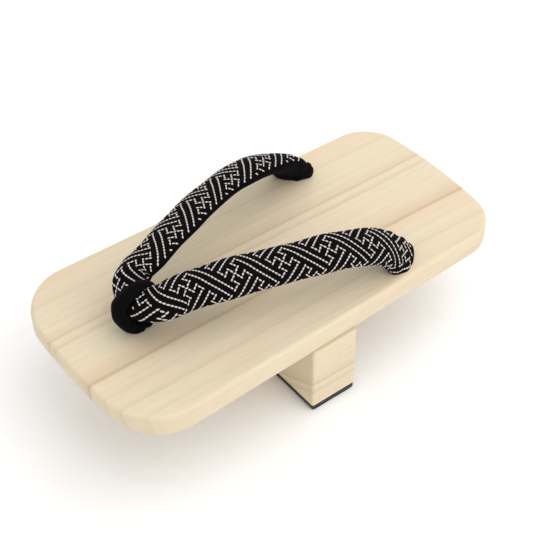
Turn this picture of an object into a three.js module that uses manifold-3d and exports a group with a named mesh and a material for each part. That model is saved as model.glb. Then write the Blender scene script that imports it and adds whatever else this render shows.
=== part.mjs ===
// One-tooth geta: a flat wooden deck on a single cross tooth, with a padded V strap.
// Millimetres, +Z up, +Y towards the toe. The origin is on the floor, under the middle of the deck.

import * as THREE from 'three';
import { mergeVertices } from 'three/addons/utils/BufferGeometryUtils.js';
import Module from 'manifold-3d';

const wasm = await Module();
wasm.setup();

// Driving dimensions
const DECK = {
  length: 265,
  width: 126,
  thickness: 16.5,
  taper: 0.056,
  toeCorner: 34,
  heelCorner: 23,
  toeBow: 4,
  heelBow: 5.5,
  topEdge: 2.5,
  bottomEdge: 5,
  toeChamferLength: 13,
  toeChamferHeight: 5,
};
const TOOTH = { thickness: 31, height: 44.2, cornerRadius: 1.2 };
const TREAD = { thickness: 3.8, margin: 0.4, edge: 0.8 };
const TOE_HOLE = { y: 86, radius: 6 };
const HEEL_HOLE = { x: 46.5, y: -62.5, radius: 6 };
const TWINE = { radius: 3.4, halfLength: 29, drop: 5 };
const CAP = { x: -2, y: 97, halfWidth: 19, halfLength: 17.5, point: 4, height: 7, wall: 0.8 };
const GAP = 0.3;

// Levels worked out from them
const UNDERSIDE = TREAD.thickness + TOOTH.height;
const DECK_TOP = UNDERSIDE + DECK.thickness;

// How finely round things are divided
const CORNER_STEPS = 10;
const END_STEPS = 6;
const SECTION_STEPS = 20;
const STRAP_STEPS = 4;
const TAIL_STEPS = 2;
const HOLE_STEPS = 28;
const BLOCK_CORNER_STEPS = 4;
const CAP_STEPS = 36;

// The strap's right half from the toe to the heel hole. The height is above the deck's top,
// and the roll lowers the strap's outer edge, in degrees.
const STRAP_ROWS = [
  { x: 0, y: 87.0, height: 21.5, halfWidth: 10.2, halfThickness: 4.8, roll: 24 },
  { x: 12.3, y: 80.8, height: 24.0, halfWidth: 11.3, halfThickness: 5.9, roll: 17 },
  { x: 17.1, y: 66.0, height: 26.9, halfWidth: 11.7, halfThickness: 6.1, roll: 15 },
  { x: 26.2, y: 39.5, height: 29.5, halfWidth: 11.9, halfThickness: 6.1, roll: 17 },
  { x: 36.0, y: 9.9, height: 29.8, halfWidth: 11.7, halfThickness: 6.1, roll: 15 },
  { x: 42.8, y: -19.9, height: 26.7, halfWidth: 11.8, halfThickness: 6.1, roll: 14 },
  { x: 46.5, y: -46.2, height: 16.0, halfWidth: 11.9, halfThickness: 6.4, roll: 28 },
  { x: 48.5, y: -61.5, height: -2.0, halfWidth: 11.8, halfThickness: 6.8, roll: 48 },
];

// The strap's end under the deck, folded from its heel hole towards the middle.
const TAIL_ROWS = [
  { x: 56.0, halfWidth: 1.6, halfThickness: 1.0 },
  { x: 54.6, halfWidth: 4.6, halfThickness: 2.9 },
  { x: 51.6, halfWidth: 7.0, halfThickness: 4.1 },
  { x: 46.0, halfWidth: 8.2, halfThickness: 4.6 },
  { x: 37.5, halfWidth: 7.8, halfThickness: 4.6 },
  { x: 30.0, halfWidth: 6.8, halfThickness: 4.4 },
];

// The toe loop: up the toe side of the strap, over it and down behind it. Heights are above the deck.
const LOOP_ROWS = [
  { y: 86.5, height: 0.5, halfWidth: 5.0, halfThickness: 5.0 },
  { y: 93.5, height: 6.0, halfWidth: 5.3, halfThickness: 4.2 },
  { y: 98.2, height: 14.0, halfWidth: 5.6, halfThickness: 3.2 },
  { y: 97.8, height: 21.4, halfWidth: 5.4, halfThickness: 2.9 },
  { y: 91.4, height: 27.0, halfWidth: 4.7, halfThickness: 2.4 },
  { y: 82.6, height: 28.9, halfWidth: 3.5, halfThickness: 2.2 },
  { y: 77.0, height: 24.6, halfWidth: 2.8, halfThickness: 2.2 },
  { y: 78.5, height: 11.0, halfWidth: 3.6, halfThickness: 3.4 },
  { y: 83.5, height: 0.5, halfWidth: 4.6, halfThickness: 4.6 },
];

// Finishes
const FINISHES = {
  wood: { color: 0xe3d2b4, roughness: 0.6, metalness: 0 },
  rubber: { color: 0x17181a, roughness: 0.75, metalness: 0 },
  cloth: { color: 0x26262a, roughness: 0.85, metalness: 0 },
  velvet: { color: 0x0e0e12, roughness: 0.95, metalness: 0 },
  twine: { color: 0xdcc094, roughness: 0.85, metalness: 0 },
  brass: { color: 0xb99a3e, roughness: 0.3, metalness: 1 },
};

// Turns a geometry into a solid that can be joined and cut.
function solid(geometry) {
  const bare = geometry.clone();
  bare.deleteAttribute('normal');
  bare.deleteAttribute('uv');
  const merged = mergeVertices(bare);
  return new wasm.Manifold(new wasm.Mesh({
    numProp: 3,
    vertProperties: new Float32Array(merged.attributes.position.array),
    triVerts: new Uint32Array(merged.index.array),
  }));
}

// Turns a solid back into a geometry.
function geometryOf(body) {
  const mesh = body.getMesh();
  const geometry = new THREE.BufferGeometry();
  geometry.setAttribute('position', new THREE.BufferAttribute(mesh.vertProperties, mesh.numProp));
  geometry.setIndex(new THREE.BufferAttribute(mesh.triVerts, 1));
  geometry.computeVertexNormals();
  return geometry;
}

// A closed skin through rings of equal count, each counter-clockwise about the way they follow on.
function loft(rings) {
  const count = rings[0].length;
  const points = rings.flat();
  const middles = [rings[0], rings[rings.length - 1]].map((ring) => {
    const sum = ring.reduce((total, point) => total.add(point), new THREE.Vector3());
    return sum.divideScalar(count);
  });
  const firstMiddle = points.length;
  const lastMiddle = firstMiddle + 1;
  const lastRing = (rings.length - 1) * count;
  const index = [];
  for (let step = 0; step < count; step += 1) {
    const next = (step + 1) % count;
    for (let ring = 0; ring + 1 < rings.length; ring += 1) {
      const here = ring * count;
      const there = here + count;
      index.push(here + step, here + next, there + next);
      index.push(here + step, there + next, there + step);
    }
    index.push(firstMiddle, next, step);
    index.push(lastMiddle, lastRing + step, lastRing + next);
  }
  const geometry = new THREE.BufferGeometry().setFromPoints([...points, ...middles]);
  geometry.setIndex(index);
  return geometry;
}

// A ring of a flattened round section, counter-clockwise about across x up.
function sectionRing(centre, across, up, halfWidth, halfThickness) {
  return Array.from({ length: SECTION_STEPS }, (_, step) => {
    const angle = (2 * Math.PI * step) / SECTION_STEPS;
    return centre.clone()
      .addScaledVector(across, halfWidth * Math.cos(angle))
      .addScaledVector(up, halfThickness * Math.sin(angle));
  });
}

// Smooth places and sections between the rows of a table.
function stations(rows, stepsPerRow, placeOf, sectionOf) {
  const path = new THREE.CatmullRomCurve3(rows.map(placeOf));
  const section = new THREE.CatmullRomCurve3(rows.map(sectionOf));
  const steps = (rows.length - 1) * stepsPerRow;
  return Array.from({ length: steps + 1 }, (_, step) => ({
    centre: path.getPoint(step / steps),
    along: path.getTangent(step / steps),
    section: section.getPoint(step / steps),
  }));
}

// A box between two corners, used to cut.
function boxBetween(low, high) {
  const size = new THREE.Vector3().subVectors(high, low);
  const middle = new THREE.Vector3().addVectors(low, high).multiplyScalar(0.5);
  return solid(new THREE.BoxGeometry(size.x, size.y, size.z).translate(middle.x, middle.y, middle.z));
}

// An upright round bar from one level to another.
function upright(x, y, radius, bottom, top) {
  const bar = new THREE.CylinderGeometry(radius, radius, top - bottom, HOLE_STEPS);
  return solid(bar.rotateX(Math.PI / 2).translate(x, y, (bottom + top) / 2));
}

// Everything above the deck's top, with the usual gap.
function aboveDeck() {
  const reach = DECK.length;
  return boxBetween(
    new THREE.Vector3(-reach, -reach, DECK_TOP + GAP),
    new THREE.Vector3(reach, reach, DECK_TOP + reach),
  );
}

// A rounded rectangle that widens towards the toe and bows out at both ends, drawn in by an inset.
function deckOutline(inset, level) {
  const halfWidth = DECK.width / 2;
  const halfLength = DECK.length / 2;
  const corners = [
    { across: 1, along: 1, radius: DECK.toeCorner, turn: 0 },
    { across: -1, along: 1, radius: DECK.toeCorner, turn: 1 },
    { across: -1, along: -1, radius: DECK.heelCorner, turn: 2 },
    { across: 1, along: -1, radius: DECK.heelCorner, turn: 3 },
  ];
  const flat = [];
  for (const corner of corners) {
    const centreX = corner.across * (halfWidth - corner.radius);
    const centreY = corner.along * (halfLength - corner.radius);
    for (let step = 0; step <= CORNER_STEPS; step += 1) {
      const angle = (corner.turn + step / CORNER_STEPS) * (Math.PI / 2);
      const radius = corner.radius - inset;
      flat.push({ x: centreX + radius * Math.cos(angle), y: centreY + radius * Math.sin(angle) });
    }
    const isEnd = corner.turn % 2 === 0;
    for (let step = 1; isEnd && step < END_STEPS; step += 1) {
      const along = flat[flat.length - 1].y;
      flat.push({ x: centreX * (1 - (2 * step) / END_STEPS), y: along });
    }
  }
  return flat.map(({ x, y }) => {
    const along = y / halfLength;
    const bow = along > 0 ? DECK.toeBow : -DECK.heelBow;
    const pulledIn = bow * (x / halfWidth) ** 2 * along ** 4;
    return new THREE.Vector3(x * (1 + DECK.taper * along), y - pulledIn, level);
  });
}

// The deck: rounded edges above and below, a chamfer under the toe and three strap holes.
function deck() {
  const quarter = [0, 1 / 3, 2 / 3, 1].map((part) => (part * Math.PI) / 2);
  const below = quarter.map((angle) => ({
    inset: DECK.bottomEdge * (1 - Math.sin(angle)),
    level: UNDERSIDE + DECK.bottomEdge * (1 - Math.cos(angle)),
  }));
  const above = quarter.map((angle) => ({
    inset: DECK.topEdge * (1 - Math.cos(angle)),
    level: DECK_TOP - DECK.topEdge * (1 - Math.sin(angle)),
  }));
  const board = solid(loft([...below, ...above].map(({ inset, level }) => deckOutline(inset, level))));

  const slope = Math.atan2(DECK.toeChamferHeight, DECK.toeChamferLength);
  const wedge = new THREE.BoxGeometry(DECK.length, DECK.length, DECK.length);
  wedge.translate(0, 0, -DECK.length / 2);
  wedge.rotateX(slope);
  wedge.translate(0, DECK.length / 2 - DECK.toeChamferLength, UNDERSIDE);

  const past = DECK.thickness;
  const hole = (x, y, radius) => upright(x, y, radius, UNDERSIDE - past, DECK_TOP + past);
  const cut = board
    .subtract(solid(wedge))
    .subtract(hole(0, TOE_HOLE.y, TOE_HOLE.radius))
    .subtract(hole(HEEL_HOLE.x, HEEL_HOLE.y, HEEL_HOLE.radius))
    .subtract(hole(-HEEL_HOLE.x, HEEL_HOLE.y, HEEL_HOLE.radius));
  return geometryOf(cut);
}

// A rounded rectangle centred on the origin.
function roundedRectangle(width, length, radius) {
  const halfWidth = width / 2 - radius;
  const halfLength = length / 2 - radius;
  const shape = new THREE.Shape();
  shape.absarc(halfWidth, halfLength, radius, 0, Math.PI / 2);
  shape.absarc(-halfWidth, halfLength, radius, Math.PI / 2, Math.PI);
  shape.absarc(-halfWidth, -halfLength, radius, Math.PI, Math.PI * 1.5);
  shape.absarc(halfWidth, -halfLength, radius, Math.PI * 1.5, Math.PI * 2);
  return shape;
}

// The tooth: one block across the whole deck.
function tooth() {
  const plan = roundedRectangle(DECK.width, TOOTH.thickness, TOOTH.cornerRadius);
  const block = new THREE.ExtrudeGeometry(plan, {
    depth: TOOTH.height,
    bevelEnabled: false,
    curveSegments: BLOCK_CORNER_STEPS,
  });
  return block.translate(0, 0, TREAD.thickness);
}

// The rubber under the tooth, with a small chamfer round its lower edge.
function tread() {
  const ring = (inset, level) => {
    const shrink = 2 * (TREAD.margin + inset);
    const plan = roundedRectangle(DECK.width - shrink, TOOTH.thickness - shrink, TOOTH.cornerRadius);
    return plan.getPoints(BLOCK_CORNER_STEPS).slice(0, -1).map(({ x, y }) => new THREE.Vector3(x, y, level));
  };
  return loft([ring(TREAD.edge, 0), ring(0, TREAD.edge), ring(0, TREAD.thickness)]);
}

// The strap's rows from its left heel to its right heel.
function wholeStrapRows() {
  const left = STRAP_ROWS.slice(1).reverse().map((row) => ({ ...row, x: -row.x }));
  return [...left, ...STRAP_ROWS];
}

// The padded strap above the deck, grown all round by an allowance.
function strapAbove(allowance) {
  const up = new THREE.Vector3(0, 0, 1);
  const placed = stations(
    wholeStrapRows(),
    STRAP_STEPS,
    (row) => new THREE.Vector3(row.x, row.y, DECK_TOP + row.height),
    (row) => new THREE.Vector3(row.halfWidth, row.halfThickness, row.roll),
  );
  const rings = placed.map(({ centre, along, section }) => {
    const across = new THREE.Vector3().crossVectors(up, along).normalize();
    const normal = new THREE.Vector3().crossVectors(along, across);
    const roll = THREE.MathUtils.degToRad(section.z);
    across.applyAxisAngle(along, -roll);
    normal.applyAxisAngle(along, -roll);
    return sectionRing(centre, across, normal, section.x + allowance, section.y + allowance);
  });
  return solid(loft(rings)).intersect(aboveDeck());
}

// A strap end: its neck in the heel hole and its fold under the deck.
function strapTail(side) {
  const across = new THREE.Vector3(0, 1, 0);
  const up = new THREE.Vector3(0, 0, 1);
  const rows = side > 0 ? [...TAIL_ROWS].reverse() : TAIL_ROWS;
  const level = UNDERSIDE - TWINE.drop;
  const placed = stations(
    rows,
    TAIL_STEPS,
    (row) => new THREE.Vector3(side * row.x, HEEL_HOLE.y, level),
    (row) => new THREE.Vector3(row.halfWidth, row.halfThickness, 0),
  );
  const rings = placed.map(({ centre, section }) => sectionRing(centre, across, up, section.x, section.y));
  const radius = HEEL_HOLE.radius - GAP;
  const neck = upright(side * HEEL_HOLE.x, HEEL_HOLE.y, radius, level, DECK_TOP + radius / 2);
  return solid(loft(rings)).add(neck);
}

// The whole strap: both padded arms, joined at the toe, with their ends through the heel holes.
function strap() {
  return geometryOf(strapAbove(0).add(strapTail(1)).add(strapTail(-1)));
}

// The toe loop round the strap, with its stem in the toe hole.
function toeLoop() {
  const placed = stations(
    LOOP_ROWS,
    STRAP_STEPS,
    (row) => new THREE.Vector3(0, row.y, DECK_TOP + row.height),
    (row) => new THREE.Vector3(row.halfWidth, row.halfThickness, 0),
  );
  const across = new THREE.Vector3(1, 0, 0);
  const rings = placed.map(({ centre, along, section }) => {
    const normal = new THREE.Vector3().crossVectors(along, across);
    return sectionRing(centre, across, normal, section.x, section.y);
  });
  const radius = TOE_HOLE.radius - GAP;
  const stem = upright(0, TOE_HOLE.y, radius, UNDERSIDE, DECK_TOP + radius / 2);
  const loop = solid(loft(rings)).intersect(aboveDeck()).subtract(strapAbove(GAP));
  return geometryOf(loop.add(stem));
}

// The twine bound between the two strap ends under the deck.
function twine() {
  const bar = new THREE.CylinderGeometry(TWINE.radius, TWINE.radius, 2 * TWINE.halfLength, SECTION_STEPS);
  return bar.rotateZ(Math.PI / 2).translate(0, HEEL_HOLE.y, UNDERSIDE - TWINE.drop);
}

// A ring of the cap's outline, an oval drawn out to a blunt point on one side.
function capRing(scale, drop, wall) {
  return Array.from({ length: CAP_STEPS }, (_, step) => {
    const angle = -(2 * Math.PI * step) / CAP_STEPS;
    const point = CAP.point * Math.max(0, -Math.cos(angle)) ** 4;
    return new THREE.Vector3(
      CAP.x + ((CAP.halfWidth + point) * scale - wall) * Math.cos(angle),
      CAP.y + (CAP.halfLength * scale - wall) * Math.sin(angle),
      UNDERSIDE - drop,
    );
  });
}

// The pressed metal cap over the toe hole, hollow towards the deck.
function cap() {
  const dome = [
    { scale: 1.0, drop: 0 },
    { scale: 1.0, drop: 0.14 },
    { scale: 0.93, drop: 0.3 },
    { scale: 0.86, drop: 0.62 },
    { scale: 0.68, drop: 0.86 },
    { scale: 0.4, drop: 0.97 },
    { scale: 0.12, drop: 1.0 },
  ];
  const outside = dome.map(({ scale, drop }) => capRing(scale, drop * CAP.height, 0));
  const insideDrops = dome.slice(2).map(({ scale, drop }) => (
    capRing(scale, drop * CAP.height - CAP.wall, CAP.wall * scale)
  ));
  const mouth = capRing(dome[2].scale, 0, CAP.wall);
  const shell = solid(loft(outside));
  const hollow = solid(loft([mouth, ...insideDrops]));
  return geometryOf(shell.subtract(hollow));
}

// A named piece of the sandal.
function piece(name, geometry, finish) {
  const mesh = new THREE.Mesh(geometry, new THREE.MeshStandardMaterial(FINISHES[finish]));
  mesh.name = name;
  return mesh;
}

const geta = new THREE.Group();
geta.add(
  piece('deck_board', deck(), 'wood'),
  piece('tooth_block', tooth(), 'wood'),
  piece('tooth_tread', tread(), 'rubber'),
  piece('strap', strap(), 'cloth'),
  piece('toe_loop', toeLoop(), 'velvet'),
  piece('heel_twine', twine(), 'twine'),
  piece('toe_cap', cap(), 'brass'),
);

export default geta;
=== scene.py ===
# %% [markdown]
# # A one-tooth geta, dressed over its frame
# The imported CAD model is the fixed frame: every piece here is placed in its coordinates, in
# metres, with +Y towards the toe and the floor at zero. The wooden deck, the tooth, the rubber,
# the padded strap, the velvet toe loop, the twine and the brass cap are each rebuilt as a fine
# surface from numpy arrays, and each one stands for the CAD solid of the same name.

# %% Load the frame
import math

import bpy
import numpy as np
from mathutils import Matrix


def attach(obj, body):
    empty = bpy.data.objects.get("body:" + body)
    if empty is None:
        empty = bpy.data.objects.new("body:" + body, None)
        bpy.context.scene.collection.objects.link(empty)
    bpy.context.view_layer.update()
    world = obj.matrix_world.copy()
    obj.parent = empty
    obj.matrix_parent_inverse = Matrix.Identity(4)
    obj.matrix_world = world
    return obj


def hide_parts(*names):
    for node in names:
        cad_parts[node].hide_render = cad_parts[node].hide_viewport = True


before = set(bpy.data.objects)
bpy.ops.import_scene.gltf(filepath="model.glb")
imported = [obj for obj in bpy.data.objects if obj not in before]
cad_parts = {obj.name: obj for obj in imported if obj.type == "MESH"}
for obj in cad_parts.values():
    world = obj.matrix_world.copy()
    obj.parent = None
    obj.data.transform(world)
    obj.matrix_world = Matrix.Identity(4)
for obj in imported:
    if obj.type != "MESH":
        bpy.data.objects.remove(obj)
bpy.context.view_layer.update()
MM = 0.001

# %% [markdown]
# ## From arrays to a mesh
# Nearly every piece of a sandal is a ring of points carried along something: the deck's outline
# down its edge, the strap's section along its path, the cap's profile out from its middle. So one
# helper takes a whole block of rings, joins each ring to the next with quads, and closes the ends
# with a fan round a middle point. A UV map in millimetres goes with it for woven finishes.


# %% Helpers for arrays
def unit(vectors):
    """Vectors divided by their lengths."""
    return vectors / np.linalg.norm(vectors, axis=-1, keepdims=True)


def distance_along(points):
    """The distance travelled from the first point to each, as a running sum of the steps' lengths."""
    return np.concatenate([[0], np.cumsum(np.linalg.norm(np.diff(points, axis=0), axis=1))])


def facing(place, target, up):
    """The matrix of a camera or light at place that looks at target, with up as near up as it can be."""
    back = unit(np.array(place) - np.array(target))
    right = unit(np.cross(up, back))
    turn = np.stack([right, np.cross(back, right), back], -1)
    return Matrix.Translation(place) @ Matrix(turn.tolist()).to_4x4()


# %% Helpers that turn arrays into objects
def loft_faces(rings, points):
    """Quads between neighbouring rings of a closed loft, as index rows into a rings-by-points block."""
    ring, point = np.meshgrid(np.arange(rings - 1), np.arange(points), indexing="ij")
    after = (point + 1) % points
    quads = np.stack([ring * points + point, ring * points + after,
                      (ring + 1) * points + after, (ring + 1) * points + point], -1)
    return quads.reshape(-1, 4)


def fan_faces(start, points, middle, turned):
    """Triangles from one ring to a middle point, wound the other way when turned."""
    here = np.arange(points)
    after = (here + 1) % points
    fan = np.stack([start + here, start + after, np.full(points, middle)], -1)
    return fan[:, ::-1] if turned else fan


def make_piece(name, positions_mm, faces, materials, replaced=(), uv=None, face_material=None):
    """A mesh object from millimetre positions and face rows; uv holds one pair per vertex."""
    mesh = bpy.data.meshes.new(name)
    rows = [row for block in faces for row in np.asarray(block).tolist()]
    mesh.from_pydata((np.asarray(positions_mm) * MM).tolist(), [], rows)
    for material in materials:
        mesh.materials.append(material)
    if face_material is not None:
        mesh.polygons.foreach_set("material_index", np.asarray(face_material, dtype=np.int32))
    mesh.polygons.foreach_set("use_smooth", np.ones(len(mesh.polygons), dtype=bool))
    if uv is not None:
        corner = np.zeros(len(mesh.loops), dtype=np.int32)
        mesh.loops.foreach_get("vertex_index", corner)
        layer = mesh.uv_layers.new(name="cloth_mm")
        layer.data.foreach_set("uv", np.asarray(uv, dtype=np.float32)[corner].ravel())
    mesh.validate()
    mesh.update()
    piece = bpy.data.objects.new(name, mesh)
    bpy.context.scene.collection.objects.link(piece)
    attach(piece, "root")
    if replaced:
        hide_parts(*replaced)
    low, high = positions_mm.min(0), positions_mm.max(0)
    print(name, len(mesh.polygons), "faces,", [round(float(v), 1) for v in high - low], "mm")
    return piece


def loft(name, rings, materials, replaced=(), uv=None, quad_material=None):
    """A closed loft: rings is a block (ring, point, xyz) in mm, with a fan over each end."""
    count, points = rings.shape[:2]
    ends = np.stack([rings[0].mean(0), rings[-1].mean(0)])
    positions = np.concatenate([rings.reshape(-1, 3), ends])
    faces = [loft_faces(count, points),
             fan_faces(0, points, count * points, True),
             fan_faces((count - 1) * points, points, count * points + 1, False)]
    index, pair = None, None
    if quad_material is not None:
        index = np.asarray(quad_material).reshape(-1)
        index = np.concatenate([index, np.full(points, index[0]), np.full(points, index[-1])])
    if uv is not None:
        pair = np.concatenate([uv.reshape(-1, 2), uv[0].mean(0)[None], uv[-1].mean(0)[None]])
    return make_piece(name, positions, faces, materials, replaced, pair, index)


# %% [markdown]
# ## Camera, floor and light
# The picture is taken from high on the toe side, a little to one side, with a long lens. The
# place and the lean of the camera were worked out from the board's corners. A white sweep, a big
# soft light overhead and a low fill give the pale, nearly shadowless look of a catalogue picture.
# The floor shows from above only, so that the underside can be looked at too.

# %% The camera
CAMERA_PLACE = np.array([-457.5, 346.5, 610.0])
CAMERA_UP = np.array([0.570, -0.446, 0.689])
LOOK_AT = np.array([-4.0, -7.0, 46.0])
IMAGE_PIXELS = 560
FOCAL_PIXELS = 1390
SENSOR_WIDTH = 36

camera_data = bpy.data.cameras.new("studio_camera")
camera_data.sensor_width = SENSOR_WIDTH
camera_data.lens = SENSOR_WIDTH * FOCAL_PIXELS / IMAGE_PIXELS
camera_data.clip_end = 20
camera = bpy.data.objects.new("studio_camera", camera_data)
bpy.context.scene.collection.objects.link(camera)
camera.matrix_world = facing(CAMERA_PLACE * MM, LOOK_AT * MM, CAMERA_UP)
bpy.context.scene.camera = camera
print("lens", round(camera_data.lens, 1), "mm")


# %% Node helpers
def new_material(name):
    """An empty node material with a Principled shader joined to its output."""
    material = bpy.data.materials.new(name)
    material.use_nodes = True
    tree = material.node_tree
    tree.nodes.clear()
    output = tree.nodes.new("ShaderNodeOutputMaterial")
    shader = tree.nodes.new("ShaderNodeBsdfPrincipled")
    tree.links.new(shader.outputs["BSDF"], output.inputs["Surface"])
    return material, tree, shader


def put(tree, kind, settings=None, **sockets):
    """A node with its settings, and inputs given by socket name as values or as links."""
    node = tree.nodes.new(kind)
    for key, value in (settings or {}).items():
        setattr(node, key, value)
    for key, value in sockets.items():
        connect(tree, node, key, value)
    return node


def connect(tree, node, key, value):
    """Joins an output to the input called key, or sets its value; in0 is the first input."""
    name = key.replace("_", " ")
    numbered = key.startswith("in") and key[2:].isdigit()
    socket = node.inputs[int(key[2:])] if numbered else node.inputs[name]
    if hasattr(value, "is_output"):
        tree.links.new(value, socket)
    else:
        socket.default_value = value


def math_node(tree, operation, first, second=None, third=None):
    """One Math node, its result."""
    node = tree.nodes.new("ShaderNodeMath")
    node.operation = operation
    for place, value in enumerate((first, second, third)):
        if value is not None:
            connect(tree, node, f"in{place}", value)
    return node.outputs[0]


def ramp(tree, factor, stops):
    """A Color Ramp with (place, colour) stops."""
    node = tree.nodes.new("ShaderNodeValToRGB")
    while len(node.color_ramp.elements) < len(stops):
        node.color_ramp.elements.new(0.5)
    for element, (place, colour) in zip(node.color_ramp.elements, stops):
        element.position = place
        element.color = (*colour, 1)
    tree.links.new(factor, node.inputs["Fac"])
    return node.outputs["Color"]


def grey(value):
    """A colour of three equal parts."""
    return (value, value, value)


def blend_colour(tree, kind, factor, first, second):
    """A Mix node on colours."""
    node = tree.nodes.new("ShaderNodeMix")
    node.data_type = "RGBA"
    node.blend_type = kind
    for place, value in ((0, factor), (6, first), (7, second)):
        if hasattr(value, "is_output"):
            tree.links.new(value, node.inputs[place])
        elif place == 0:
            node.inputs[0].default_value = value
        else:
            node.inputs[place].default_value = (*value, 1)
    return node.outputs[2]


def noise(tree, vector, scale, detail=3.0, roughness=0.55):
    """A Noise Texture's value on a vector."""
    node = put(tree, "ShaderNodeTexNoise", None, Vector=vector, Scale=scale, Detail=detail,
               Roughness=roughness)
    return node.outputs["Fac"]


def millimetres(tree, stretch=(1, 1, 1)):
    """Object coordinates in millimetres, stretched by a Mapping node."""
    coordinates = tree.nodes.new("ShaderNodeTexCoord")
    mapping = put(tree, "ShaderNodeMapping", None, Vector=coordinates.outputs["Object"])
    mapping.inputs["Scale"].default_value = [s / MM for s in stretch]
    return mapping.outputs["Vector"]


def bump(tree, height, strength, distance_mm):
    """A Bump node whose height is in units of distance_mm."""
    node = put(tree, "ShaderNodeBump", None, Height=height, Strength=strength, Distance=distance_mm * MM)
    return node.outputs["Normal"]


def new_group(name, numbers, outputs):
    """An empty node group that takes a Vector and the named numbers, with its input and output nodes."""
    group = bpy.data.node_groups.new(name, "ShaderNodeTree")
    sockets = group.interface
    sockets.new_socket("Vector", in_out="INPUT", socket_type="NodeSocketVector")
    for key, value in numbers.items():
        sockets.new_socket(key, in_out="INPUT", socket_type="NodeSocketFloat").default_value = value
    for key, kind in outputs.items():
        sockets.new_socket(key, in_out="OUTPUT", socket_type="NodeSocket" + kind)
    return group, group.nodes.new("NodeGroupInput"), group.nodes.new("NodeGroupOutput")


# %% The floor
FLOOR_REACH, FLOOR_LEVEL = 6, -0.0002
floor_material, tree, shader = new_material("studio_floor")
shader.inputs["Roughness"].default_value = 0.9
shader.inputs["Specular IOR Level"].default_value = 0.1
speck = noise(tree, millimetres(tree, (0.02, 0.02, 0.02)), 1.0)
tree.links.new(ramp(tree, speck, [(0.3, (0.93, 0.93, 0.93)), (0.7, (0.95, 0.95, 0.95))]),
               shader.inputs["Base Color"])
output = next(node for node in tree.nodes if node.type == "OUTPUT_MATERIAL")
see_through = tree.nodes.new("ShaderNodeBsdfTransparent")
one_sided = tree.nodes.new("ShaderNodeMixShader")
tree.links.new(tree.nodes.new("ShaderNodeNewGeometry").outputs["Backfacing"], one_sided.inputs[0])
tree.links.new(shader.outputs["BSDF"], one_sided.inputs[1])
tree.links.new(see_through.outputs["BSDF"], one_sided.inputs[2])
tree.links.new(one_sided.outputs["Shader"], output.inputs["Surface"])
floor_mesh = bpy.data.meshes.new("studio_floor")
floor_corners = [(x * FLOOR_REACH, y * FLOOR_REACH, FLOOR_LEVEL)
                 for x, y in ((-1, -1), (1, -1), (1, 1), (-1, 1))]
floor_mesh.from_pydata(floor_corners, [], [(0, 1, 2, 3)])
floor_mesh.materials.append(floor_material)
studio_floor = bpy.data.objects.new("studio_floor", floor_mesh)
bpy.context.scene.collection.objects.link(studio_floor)

# %% The lights
LIGHT_UP = (0.0, 1.0, 0.2)
# Place and target in metres, size, power in watts and colour
LIGHTS = {
    "overhead": ((-0.45, -0.35, 1.4), (0, 0, 0.05), 1.5, 8.5, (1.0, 0.99, 0.97)),
    "side": ((-1.4, -0.45, 0.7), (0, 0, 0.05), 0.9, 5, (1.0, 0.99, 0.97)),
    "toe_fill": ((-0.3, 1.3, 0.7), (0, 0, 0.03), 1.0, 1.2, (1.0, 1.0, 1.0)),
    "back": ((0.9, -0.9, 0.9), (0, 0, 0.05), 0.8, 2.5, (1.0, 1.0, 1.0)),
}


def area_light(name, place, target, size, power, colour):
    """A square area light at place that faces target."""
    data = bpy.data.lights.new(name, "AREA")
    data.size = size
    data.energy = power
    data.color = colour
    light = bpy.data.objects.new(name, data)
    bpy.context.scene.collection.objects.link(light)
    light.matrix_world = facing(place, target, LIGHT_UP)


for light_name, values in LIGHTS.items():
    area_light(light_name, *values)
world = bpy.data.worlds.new("studio_world")
world.use_nodes = True
world.node_tree.nodes["Background"].inputs["Color"].default_value = (1, 1, 1, 1)
world.node_tree.nodes["Background"].inputs["Strength"].default_value = 0.84
bpy.context.scene.world = world
bpy.context.scene.view_settings.view_transform = "Standard"
print("lights:", list(LIGHTS))

# %% [markdown]
# ## Wood
# The deck and the tooth are cut from pale, straight-grained timber left bare. A tree adds a ring
# each year, so the grain is a stack of slightly wavy shells round a middle line that runs along
# the board. One node group measures the distance from that line, so the stripes on the top, the
# curves on the end grain and the lines on the sides all meet at the edges. Fine fibres, pores and
# a slow drift of colour go over it. The same group serves both pieces with other values.


# %% The wood grain group
# Each bold winter line: the share of the width where it starts, peaks and ends, and its strength
BOLD_LINES = [(0.07, 0.104, 0.110, 0.2), (0.17, 0.233, 0.240, 0.28), (0.36, 0.422, 0.429, 0.62),
              (0.445, 0.468, 0.475, 0.45), (0.61, 0.704, 0.714, 1.0), (0.76, 0.800, 0.806, 0.22),
              (0.835, 0.877, 0.884, 0.38), (0.93, 0.962, 0.968, 0.24)]
LINES_SPAN = 132.0


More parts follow.
